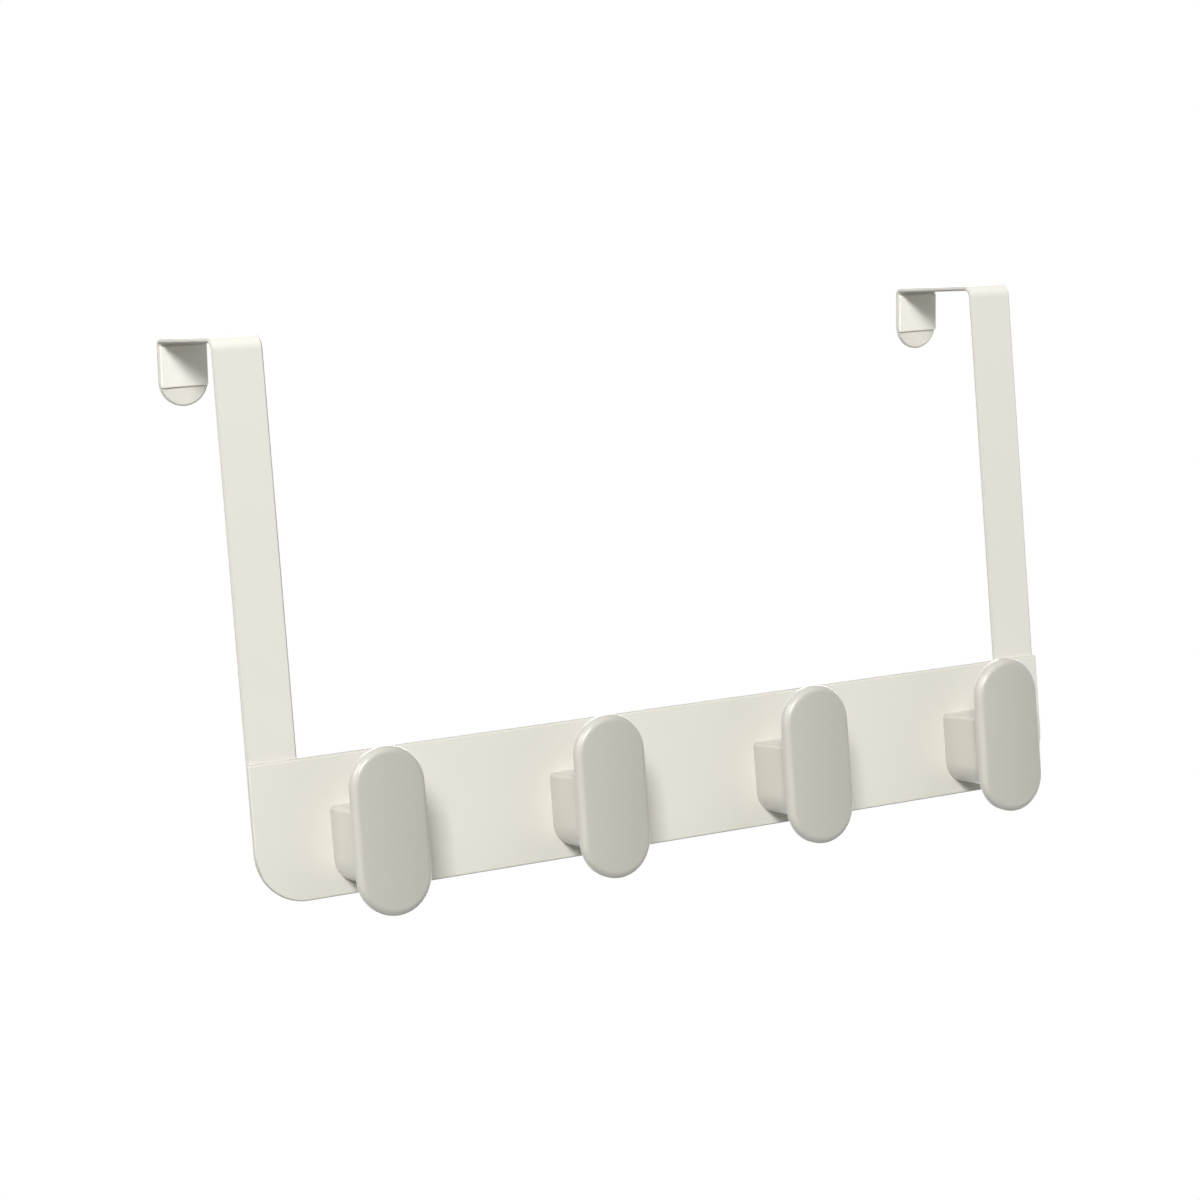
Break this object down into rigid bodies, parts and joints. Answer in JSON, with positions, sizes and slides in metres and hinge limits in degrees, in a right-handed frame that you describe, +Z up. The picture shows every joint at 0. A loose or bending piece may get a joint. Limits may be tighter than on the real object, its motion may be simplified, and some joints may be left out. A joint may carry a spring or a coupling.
{
  "type": "over-door hook rack",
  "caption": "Over-door hook rack: a round-cornered sheet-steel plate on bent flat straps with padded back legs, carrying moulded hooks with pill-shaped knobs.",
  "frame": {"origin": "midway between the straps, where the door's front face meets the door's top edge", "axes": "+X along the plate to the right as seen from the hooks, +Y back over the door, +Z up"},
  "size_m": [0.36, 0.093, 0.2155],
  "materials": {
    "powder_coat": "satin off-white powder coat",
    "moulded_plastic": "satin moulded off-white plastic",
    "foam": "matt closed-cell foam",
    "screw_steel": "bright zinc"
  },
  "bodies": {
    "root": {"back_plate": "powder_coat", "left_strap": "powder_coat", "right_strap": "powder_coat", "left_leg_pad": "foam", "right_leg_pad": "foam", "hook_1": "moulded_plastic", "hook_2": "moulded_plastic", "hook_3": "moulded_plastic", "hook_4": "moulded_plastic", "hook_screws": "screw_steel"}
  },
  "joints": []
}
